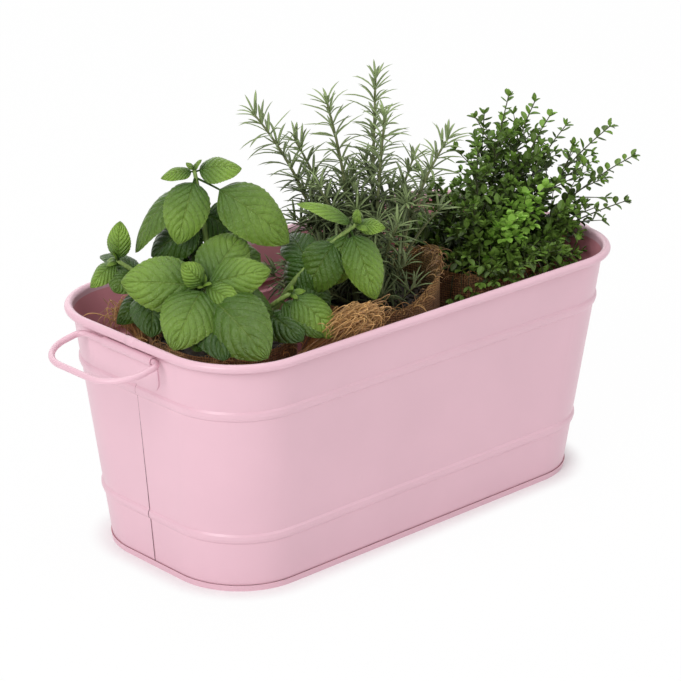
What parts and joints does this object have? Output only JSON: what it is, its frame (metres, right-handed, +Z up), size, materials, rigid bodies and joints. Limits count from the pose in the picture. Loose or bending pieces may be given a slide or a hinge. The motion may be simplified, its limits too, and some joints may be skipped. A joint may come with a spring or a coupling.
{
  "type": "indoor herb planter",
  "caption": "Tapered oblong painted sheet-steel tub with rolled rim, swaged beads and swinging wire end handles, holding basil, rosemary and thyme in jute sacks.",
  "frame": {"origin": "centre of the tub's footprint, on the floor", "axes": "+X along the tub's length towards the thyme, -Y the front, +Z up"},
  "size_m": [0.4098, 0.1786, 0.2729],
  "materials": {
    "pink_coat": "soft pink powder coat, satin",
    "steel_wire": "plain drawn wire",
    "jute": "open plain-weave jute",
    "soil": "moist peat with roots",
    "basil_leaf": "living leaf, soft sheen",
    "rosemary_leaf": "living needle leaf, matt grey-green",
    "thyme_leaf": "living small leaf, soft sheen"
  },
  "bodies": {
    "tub": {"front_wall": "pink_coat", "rear_wall": "pink_coat", "rim_wire": "steel_wire", "base_pan": "pink_coat", "left_bracket": "pink_coat", "right_bracket": "pink_coat"},
    "left_handle": {"left_handle": "pink_coat"},
    "right_handle": {"right_handle": "pink_coat"},
    "basil": {"basil_root_ball": "soil", "basil_sack": "jute", "basil_stem_1": "basil_leaf", "basil_stem_2": "basil_leaf", "basil_stem_3": "basil_leaf", "basil_stem_4": "basil_leaf", "basil_stem_5": "basil_leaf"},
    "rosemary": {"rosemary_root_ball": "soil", "rosemary_sack": "jute", "rosemary_stem_1": "rosemary_leaf", "rosemary_stem_10": "rosemary_leaf", "rosemary_stem_2": "rosemary_leaf", "rosemary_stem_3": "rosemary_leaf", "rosemary_stem_4": "rosemary_leaf", "rosemary_stem_5": "rosemary_leaf", "rosemary_stem_6": "rosemary_leaf", "rosemary_stem_7": "rosemary_leaf", "rosemary_stem_8": "rosemary_leaf", "rosemary_stem_9": "rosemary_leaf"},
    "thyme": {"thyme_root_ball": "soil", "thyme_sack": "jute", "thyme_stem_1": "thyme_leaf", "thyme_stem_10": "thyme_leaf", "thyme_stem_11": "thyme_leaf", "thyme_stem_12": "thyme_leaf", "thyme_stem_13": "thyme_leaf", "thyme_stem_14": "thyme_leaf", "thyme_stem_15": "thyme_leaf", "thyme_stem_2": "thyme_leaf", "thyme_stem_3": "thyme_leaf", "thyme_stem_4": "thyme_leaf", "thyme_stem_5": "thyme_leaf", "thyme_stem_6": "thyme_leaf", "thyme_stem_7": "thyme_leaf", "thyme_stem_8": "thyme_leaf", "thyme_stem_9": "thyme_leaf"}
  },
  "joints": [
    {"name": "left_handle_hinge", "type": "hinge", "parent": "tub", "child": "left_handle", "pos_m": [-0.16999, 0, 0.14093], "axis": [0, 1, 0], "range_deg": [-80, 50]},
    {"name": "right_handle_hinge", "type": "hinge", "parent": "tub", "child": "right_handle", "pos_m": [0.16999, 0, 0.14093], "axis": [0, -1, 0], "range_deg": [-80, 50]},
    {"name": "basil_lift", "type": "slide", "parent": "tub", "child": "basil", "axis": [0, 0, 1], "range_m": [0, 0.16]},
    {"name": "rosemary_lift", "type": "slide", "parent": "tub", "child": "rosemary", "axis": [0, 0, 1], "range_m": [0, 0.16]},
    {"name": "thyme_lift", "type": "slide", "parent": "tub", "child": "thyme", "axis": [0, 0, 1], "range_m": [0, 0.16]}
  ]
}
